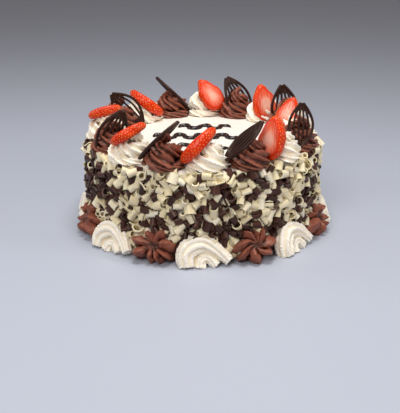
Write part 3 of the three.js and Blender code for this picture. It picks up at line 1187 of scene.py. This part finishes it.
def spline(points, steps):
    """Points along a smooth line through the given ones."""
    pts = [Vector((*p, 0)) for p in points]
    pts = [2 * pts[0] - pts[1], *pts, 2 * pts[-1] - pts[-2]]
    spans = len(pts) - 3
    line = []
    for i in range(steps + 1):
        u = min(i / steps * spans, spans - 1e-6)
        k = int(u)
        f = u - k
        a, b, c, d = pts[k : k + 4]
        place = 0.5 * (
            2 * b
            + (c - a) * f
            + (2 * a - 5 * b + 4 * c - d) * f**2
            + (3 * b - a - 3 * c + d) * f**3
        )
        line.append((place.x, place.y))
    return line


def star_shape(settings, seed):
    """A pressed star, facing +Z: petals with a crest each, round a pinched middle."""
    draw = np.random.default_rng(seed)
    petals = settings.petals
    rings, around = 54, 24 * petals
    stretch = draw.uniform(0.86, 1.14, petals)
    phases = draw.uniform(-0.22, 0.22, petals)
    swell = draw.uniform(-1.4, 1.2, petals)
    deep = settings.deep / MM
    pinch, middle, crease, crown, crest_high = 5.4, 6.7, 5.6, 1.4, 1.3
    twist = 0.16 + draw.uniform(-0.22, 0.3)
    sway = draw.uniform(0, TURN, 3)
    points = [(0, 0, deep - middle)]
    for r in range(1, rings + 1):
        s = r / (rings + 1)
        open_up = smooth(0.02, 0.3, s)
        for k in range(around):
            a = TURN * k / around
            turn = a + twist * (1 - s) ** 2 * 2 + 0.2 * math.sin(a + sway[0])
            turn += 0.16 * math.sin(2 * a + sway[1]) + 0.08 * math.sin(3 * a + sway[2])
            cell = (turn * petals / TURN) % petals
            index = int(cell) % petals
            inside = cell - int(cell) + phases[index] * math.sin(math.pi * (cell % 1))
            across = min(max(inside, 0), 1) ** 0.82
            petal = max(math.sin(math.pi * across), 0) ** 0.62
            crest = math.exp(-(((across - 0.5) / 0.13) ** 2))
            reach = stretch[index] * petal + (1 - petal)
            radius = math.sin(math.pi * s) ** 0.74 * (1 - 0.32 * (1 - petal) * open_up)
            radius *= 1 + (reach - 1 + 0.05 * crest) * open_up
            rise = deep * math.cos(math.pi * s)
            if s < 0.5:
                rise -= pinch * math.exp(-((s / 0.13) ** 2))
                rise -= crease * (1 - petal) * smooth(0.0, 0.16, s)
                rise += crest_high * (crest - 0.4) * smooth(0.06, 0.2, s)
                hump = math.exp(-(((s - 0.24) / 0.1) ** 2))
                rise += (crown + swell[index]) * petal * hump
            points.append((math.cos(a) * radius, math.sin(a) * radius, rise))
    points.append((0, 0, -deep))
    points = np.array(points)
    points[:, 0] *= settings.across / MM / 2
    points[:, 1] *= settings.tall / MM / 2
    return points, closed_grid(rings, around)


# ---- Toppings --------------------------------------------------------------


def berry_outline(settings, steps):
    """Widest near its stem, narrowing to its tip at the origin."""
    points = []
    for i in range(steps):
        a = TURN * i / steps
        t = (1 - math.cos(a)) / 2
        wide = settings.width / MM / 2 * (1.15 - 0.42 * t) * math.sin(a)
        wide *= 1 - 0.22 * t**4
        points.append((-wide, settings.length / MM * (t - 1)))
    return points


# Across a slice's face and round its rim: how far out, and how far from its middle.
BERRY_FACE = [(0.14, 1.0), (0.28, 1.0), (0.42, 1.0), (0.55, 1.0), (0.66, 1.0)]
BERRY_RIM = [
    (0.76, 0.995),
    (0.82, 0.975),
    (0.87, 0.92),
    (0.908, 0.83),
    (0.938, 0.72),
    (0.962, 0.59),
    (0.98, 0.45),
    (0.992, 0.3),
    (0.998, 0.15),
]
SEED_ROWS = (-0.68, -0.24, 0.22, 0.66)
SEED_PITCH = 3.3


def berry_slice(settings, seed):
    """A slice: two cut faces, and a rounded rim of skin with a dimple for each seed."""
    draw = np.random.default_rng(seed)
    around = 176
    half, long = settings.thick / MM / 2, settings.length / MM
    outline = np.array(berry_outline(settings, around))
    middle = np.array((0.0, -0.56 * long))
    side = BERRY_FACE + BERRY_RIM
    rows = side + [(1.0, 0.0)] + [(q, -y) for q, y in reversed(side)]
    bow = draw.uniform(-0.8, 0.8)
    points, cut, rind, veins = [], [], [], []

    def note(place, reach, level):
        points.append(place)
        rind.append(reach)
        faced = float(smooth(0.86, 0.97, abs(level)) * (1 - smooth(0.78, 0.88, reach)))
        cut.append(faced)
        steep = 1.05 * abs(place[0]) + 0.16 * place[2]
        veins.append((steep, 0.07 * place[2], seed * 3 + level))

    note(Vector((middle[0], half, middle[1])), 0.0, 1.0)
    for reach, level in rows:
        for k in range(around):
            x, z = middle + (outline[k] - middle) * reach
            up = 1 + z / long
            slim = 0.66 + 0.38 * math.sin(math.pi * min(max(up, 0), 1) ** 0.85)
            y = half * level * slim + bow * (1 - ((z - middle[1]) / 20) ** 2) * 0.6
            if abs(level) > 0.9:
                vein = noise.noise(Vector((0.9 * abs(x) + 0.35 * z, 0.1 * z, seed)))
                dip = -0.28 * math.exp(-((reach / 0.3) ** 2)) + 0.22 * vein
                y += math.copysign(dip, level)
            spot = Vector((x, y, z))
            lump = noise.noise(spot * 0.11 + Vector((seed * 3.0, 0, 0)))
            spot.x += outline[k][0] * 0.1 * lump
            spot.z += 1.1 * lump * reach
            note(spot, reach, level)
    note(Vector((middle[0], -half, middle[1])), 0.0, -1.0)
    points = np.array(points)
    faces = closed_grid(len(rows), around)

    seeds = []
    edge = np.linalg.norm(np.roll(outline, -1, 0) - outline, axis=1)
    travel = np.concatenate([[0], np.cumsum(edge)])
    number = round(travel[-1] / SEED_PITCH)
    for band, level in enumerate(SEED_ROWS):
        for j in range(number):
            s = (j + 0.5 * (band % 2) + draw.uniform(-0.2, 0.2)) / number * travel[-1]
            k = int(np.searchsorted(travel, s % travel[-1])) % around
            level_here = level + draw.uniform(-0.08, 0.08)
            row = int(np.argmin([abs(y - level_here) for _, y in rows]))
            seeds.append(1 + row * around + k)
    spots = points[seeds]
    dimples = np.zeros(len(points))
    for spot in spots:
        away = np.linalg.norm(points - spot, axis=1)
        near = away < 2.0
        dimples[near] += np.exp(-((away[near] / 0.8) ** 2))
    return points, faces, np.minimum(dimples, 1.1), spots, (cut, rind, veins)


def berry_mesh(settings, seed, matrix):
    """A slice in its place, and where its seeds lie and which way they face."""
    dimple, seed_rise = 0.46, 0.12
    points, faces, dimples, spots, layers = berry_slice(settings, seed)
    mesh = closed_mesh("berry", points, faces)
    normals = normals_of(mesh)
    dented = points - normals * dimple * dimples[:, None]
    set_points(mesh, moved(matrix, dented))
    for name, values in zip(("cut", "rind"), layers):
        add_values(mesh, name, values)
    add_values(mesh, "veins", layers[2], "FLOAT_VECTOR")
    index = [int(np.argmin(np.linalg.norm(points - s, axis=1))) for s in spots]
    turn = np.array(matrix)[:3, :3]
    facing = normals[index] @ turn.T
    facing /= np.linalg.norm(facing, axis=1)[:, None]
    along = np.tile(turn @ np.array((0, 0, 1.0)), (len(index), 1))
    place = moved(matrix, dented[index] + normals[index] * seed_rise)
    return mesh, place, facing, along


def fan_strands(settings):
    """Ribs that meet at both points of a pointed oval, the outer two thicker."""
    size, across = settings.length / MM, settings.width / MM
    rib, ribs, steps = settings.rib / MM, settings.ribs, 40
    strands = []
    for k in range(ribs):
        side = 2 * k / (ribs - 1) - 1
        strand = []
        for i in range(steps + 1):
            t = 0.02 + 0.96 * i / steps
            x = side * (across / 2 - rib) * math.sin(math.pi * t) ** 0.9
            cup = 0.5 * (1 - side * side) * math.sin(math.pi * t)
            thick = rib * (1.28 if abs(side) > 0.99 else 0.96)
            thick *= 1 + 0.06 * math.sin(9 * t + 2.1 * k)
            strand.append((Vector((x, cup - 0.25, size * (t - 1))), thick, 0.0))
        strands.append(strand)
    return strands


# ---- Operators -------------------------------------------------------------


class Maker:
    """What the cake's operators share."""

    bl_options = {"REGISTER", "UNDO"}

    def execute(self, context):
        self.make(context.scene.cake)
        return {"FINISHED"}


class CAKE_OT_coat(Maker, bpy.types.Operator):
    """Spread the cream coat over the sponge"""

    bl_idname = "cake.coat"
    bl_label = "Coat"

    def make(self, cake):
        mesh = coat_mesh(cake.coat)
        piece("cake_coat", mesh, once(coat_cream, cake), "cake_coat", ["cake_body"])


class CAKE_OT_curls(Maker, bpy.types.Operator):
    """Press white and dark chocolate curls into the side"""

    bl_idname = "cake.curls"
    bl_label = "Chocolate curls"

    def make(self, cake):
        settings = cake.curls
        kinds = (
            # colour, number, finish, slot, smallest and largest size
            ("white", 0.0, white_chocolate, "cake_coat", 0.82, 1.2),
            ("dark", 1.0, dark_curl_chocolate, "dark_chocolate", 0.9, 1.22),
        )
        for kind, number, make, slot, smallest, largest in kinds:
            shapes = bpy.data.collections.new(kind + " curls")
            for index, sizes in enumerate(CURL_SHAPES[kind]):
                shapes.objects.link(curl_shape(f"{kind}_{index}", *sizes))
            surface = side_surface()
            grow(
                surface,
                once(scatter_tree),
                Spacing=settings.spacing,
                Lift=settings.lift,
                Sink=settings.sink,
                Smallest=smallest,
                Largest=largest,
                Tilt=settings.tilt,
                Seed=settings.seed,
                Kind=number,
                Shapes=shapes,
                Finish=once(make, cake),
            )
            mesh = baked(surface, kind + "_curls")
            above_floor(mesh)
            piece(kind + "_curls", mesh, once(make, cake), slot)
            for curl in list(shapes.objects):
                bpy.data.objects.remove(curl)
            bpy.data.collections.remove(shapes)


class CAKE_OT_waves(Maker, bpy.types.Operator):
    """Pipe wavy lines on the top"""

    bl_idname = "cake.waves"
    bl_label = "Wavy lines"

    def make(self, cake):
        material = once(line_icing, cake)
        strands = [
            wave_strand(cake.waves, row * 5.0, *place)
            for row, place in enumerate(WAVE_ROWS)
        ]
        nozzle = {"Ridges": 1, "Detail": 14, "Groove": 0.0, "Finish": material}
        mesh = piped("icing_waves", strands, FINE_LINE * MM, 3, **nozzle)
        piece("icing_waves", mesh, material, "dark_chocolate")


class CAKE_OT_swirls(Maker, bpy.types.Operator):
    """Pipe the ring of cream and chocolate swirls on the top"""

    bl_idname = "cake.swirls"
    bl_label = "Swirls"

    def make(self, cake):
        settings = cake.swirls
        rooms = [topping_room(cake, portion) for portion in PORTIONS]
        below = floor_block(BODY_HEIGHT + GAP)
        for kind, slot, make in (
            ("cream", "whipped_cream", piped_cream),
            ("chocolate", "chocolate_cream", piped_chocolate),
        ):
            height = getattr(settings, kind + "_height") / MM
            material = once(make, cake)
            nozzle = {
                "Ridges": settings.ridges,
                "Detail": 10,
                "Groove": settings.groove,
                "Blade": settings.blade,
                "Finish": material,
            }
            for index, number, portion in numbered(kind):
                spot = heading(portion[1], portion[2])
                spot.z = BODY_HEIGHT + GAP - SWIRL_SINK
                strands = [
                    swirl_strand(settings, height, index + 3, portion[1]),
                    swirl_skirt(settings, index + 3),
                ]
                strands = [[(p + spot, r, t) for p, r, t in s] for s in strands]
                near = [rooms[(index + step) % len(rooms)] for step in (-1, 0, 1)]
                fineness = settings.fineness
                mesh = piped("swirl", strands, fineness, 1, [*near, below], **nozzle)
                keep_largest(mesh)
                hand_piped(mesh, index + 1, 1.0)
                name = f"{kind}_swirl_{number}"
                piece("piped_" + name, mesh, material, slot, [name])
        for block in (*rooms, below):
            bpy.data.objects.remove(block)


class CAKE_OT_scrolls(Maker, bpy.types.Operator):
    """Pipe the ridged scrolls at the foot"""

    bl_idname = "cake.scrolls"
    bl_label = "Scrolls"

    def make(self, cake):
        settings = cake.scrolls
        below = floor_block(0.0)
        material = once(piped_cream, cake)
        nozzle = {
            "Ridges": settings.ridges,
            "Detail": 9,
            "Groove": settings.groove,
            "Finish": material,
        }
        out = BODY_RADIUS + settings.out / MM
        for number in range(1, FOOT_COUNT // 2 + 1):
            matrix = foot_matrix(2 * (number - 1), out, 0, -settings.lean)
            strands = scroll_strands(settings, number)
            strands = [[(matrix @ p, r, t) for p, r, t in s] for s in strands]
            fineness = cake.swirls.fineness
            mesh = piped("scroll", strands, fineness, 2, [below], **nozzle)
            keep_largest(mesh)
            hand_piped(mesh, number + 40, 1.0)
            above_floor(mesh)
            name = f"cream_scroll_{number}"
            piece("piped_" + name, mesh, material, "whipped_cream", [name])
        bpy.data.objects.remove(below)


class CAKE_OT_stars(Maker, bpy.types.Operator):
    """Press the chocolate stars at the foot"""

    bl_idname = "cake.stars"
    bl_label = "Stars"

    def make(self, cake):
        settings = cake.stars
        facing = math.pi / 2 - settings.lean
        for number in range(1, FOOT_COUNT // 2 + 1):
            matrix = foot_matrix(2 * number - 1, BODY_RADIUS, settings.up / MM, facing)
            points, faces = star_shape(settings, number)
            points = moved(matrix, points)
            points[:, 2] = np.maximum(points[:, 2], 0.0)
            mesh = closed_mesh("star", points, faces)
            hand_piped(mesh, number + 60, 0.8, 0.7)
            above_floor(mesh)
            name = f"chocolate_star_{number}"
            material = once(piped_chocolate, cake)
            piece("pressed_" + name, mesh, material, "chocolate_cream", [name])


class CAKE_OT_fans(Maker, bpy.types.Operator):
    """Stand a ribbed chocolate fan in each chocolate swirl"""

    bl_idname = "cake.fans"
    bl_label = "Fans"

    def make(self, cake):
        material = once(fan_chocolate, cake)
        nozzle = {"Ridges": 1, "Detail": 10, "Groove": 0.0, "Finish": material}
        whole = piped("fan", fan_strands(cake.fans), FINE_LINE * MM, 1, **nozzle)
        smoothed(whole)
        shape = points_of(whole)
        for _, number, portion in numbered("chocolate"):
            mesh = whole.copy()
            placed = moved(stand_matrix(portion), shape)
            placed[:, 2] = np.maximum(placed[:, 2], BODY_HEIGHT + GAP)
            set_points(mesh, placed)
            name = f"chocolate_fan_{number}"
            piece("ribbed_" + name, mesh, material, "dark_chocolate", [name])
        bpy.data.meshes.remove(whole)


class CAKE_OT_berries(Maker, bpy.types.Operator):
    """Stand a slice of strawberry in each cream swirl"""

    bl_idname = "cake.berries"
    bl_label = "Strawberries"

    def make(self, cake):
        material = once(berry_skin_and_flesh, cake)
        seeds = []
        for index, number, portion in numbered("cream"):
            matrix = stand_matrix(portion)
            mesh, *lying = berry_mesh(cake.berries, index + 1, matrix)
            name = f"strawberry_slice_{number}"
            piece("cut_" + name, mesh, material, "strawberry", [name])
            seeds.append(lying)
        mesh = seed_mesh(*(np.concatenate(each) for each in zip(*seeds)))
        piece("strawberry_seeds", mesh, once(berry_seed, cake), "strawberry")


def seed_mesh(places, facings, alongs):
    """Small pointed seeds, one at each place, lying in the skin."""
    points, faces = [], []
    long, wide, high, low = 0.56, 0.4, 0.26, 0.3
    ring = [(1.0, 0), (0.55, 0.6), (-0.5, 0.75), (-1.0, 0), (-0.5, -0.75), (0.55, -0.6)]
    for place, out, along in zip(places, facings, alongs):
        side = np.cross(out, along)
        side /= np.linalg.norm(side) + 1e-9
        up = np.cross(side, out)
        start = len(points)
        points.append(place + out * high)
        points += [place + up * a * long + side * b * wide for a, b in ring]
        points.append(place - out * low)
        for k in range(6):
            a, b = start + 1 + k, start + 1 + (k + 1) % 6
            faces += [(start, a, b), (start + 7, b, a)]
    return closed_mesh("strawberry_seeds", points, faces)


# Each lamp: its name, place and size in millimetres, strength in watts and colour.
LAMPS = [
    ("Front", (-260, -760, 760), 460, 4.3, (1.0, 0.97, 0.93)),
    ("Right", (760, -300, 420), 380, 2.0, (1.0, 0.98, 0.96)),
    ("Left", (-820, 60, 420), 420, 1.5, (0.96, 0.97, 1.0)),
    ("Top", (40, -80, 900), 380, 5.8, (1.0, 0.99, 0.97)),
]
LAMPS_AIM = (0, 0, 45)
SKY_STRENGTH = 0.3
FLOOR_REACH = 9000
CAMERA_TILT = 19
CAMERA_RISE = 40
CAMERA_AIM = (-2.2, 0, 9.3)
CAMERA_SENSOR = 36


def place_and_aim(data, name, place, aim):
    """A lamp or camera that looks from its place at a point, both in millimetres."""
    obj = bpy.data.objects.new(name, data)
    obj.location = Vector(place) * MM
    along = Vector(aim) * MM - obj.location
    obj.rotation_euler = along.to_track_quat("-Z", "Y").to_euler()
    bpy.context.scene.collection.objects.link(obj)
    return obj


class CAKE_OT_stage(Maker, bpy.types.Operator):
    """Set the floor, the lamps and the camera"""

    bl_idname = "cake.stage"
    bl_label = "Stage"

    def make(self, cake):
        stage, scene = cake.stage, bpy.context.scene
        far = FLOOR_REACH
        corners = [(-far, -far, 0), (far, -far, 0), (far, far, 0), (-far, far, 0)]
        floor = mesh_object("floor", corners, [(0, 1, 2, 3)])
        floor.data.materials.append(once(floor_paper, cake))
        for name, place, size, watts, tone in LAMPS:
            data = bpy.data.lights.new(name, "AREA")
            data.shape = "DISK"
            data.size = size * MM
            data.energy = watts * stage.light
            data.color = tone
            place_and_aim(data, name, place, LAMPS_AIM)
        scene.world = bpy.data.worlds.new("Studio")
        scene.world.use_nodes = True
        sky = scene.world.node_tree.nodes["Background"].inputs
        sky["Color"].default_value = (*stage.sky, 1)
        sky["Strength"].default_value = SKY_STRENGTH * stage.light
        scene.view_settings.view_transform = "Standard"
        data = bpy.data.cameras.new("Camera")
        data.lens = stage.lens
        data.sensor_width = CAMERA_SENSOR
        tilt, reach = math.radians(CAMERA_TILT), stage.distance / MM
        place = (0, -math.cos(tilt) * reach, math.sin(tilt) * reach + CAMERA_RISE)
        scene.camera = place_and_aim(data, "Camera", place, CAMERA_AIM)


MAKERS = (
    CAKE_OT_coat,
    CAKE_OT_curls,
    CAKE_OT_waves,
    CAKE_OT_swirls,
    CAKE_OT_scrolls,
    CAKE_OT_stars,
    CAKE_OT_fans,
    CAKE_OT_berries,
    CAKE_OT_stage,
)


class CAKE_PT_panel(bpy.types.Panel):
    """Lists the steps of the cake and their settings"""

    bl_idname = "CAKE_PT_panel"
    bl_label = "Cake"
    bl_space_type = "VIEW_3D"
    bl_region_type = "UI"
    bl_category = "Cake"

    def draw(self, context):
        cake = context.scene.cake
        for maker in MAKERS:
            box = self.layout.box()
            box.operator(maker.bl_idname)
            group = getattr(cake, maker.bl_idname.split(".")[1])
            for name in group.bl_rna.properties.keys():
                if name not in ("rna_type", "name"):
                    box.prop(group, name)


GROUPS = (
    CoatSettings,
    CurlSettings,
    WaveSettings,
    SwirlSettings,
    ScrollSettings,
    StarSettings,
    FanSettings,
    BerrySettings,
    StageSettings,
    CakeSettings,
)
CLASSES = (*GROUPS, *MAKERS, CAKE_PT_panel)


def register():
    for cls in CLASSES:
        bpy.utils.register_class(cls)
    bpy.types.Scene.cake = PointerProperty(type=CakeSettings)


def unregister():
    del bpy.types.Scene.cake
    for cls in reversed(CLASSES):
        bpy.utils.unregister_class(cls)


def main():
    register()
    for maker in MAKERS:
        area, name = maker.bl_idname.split(".")
        getattr(getattr(bpy.ops, area), name)()


if __name__ == "__main__":
    main()
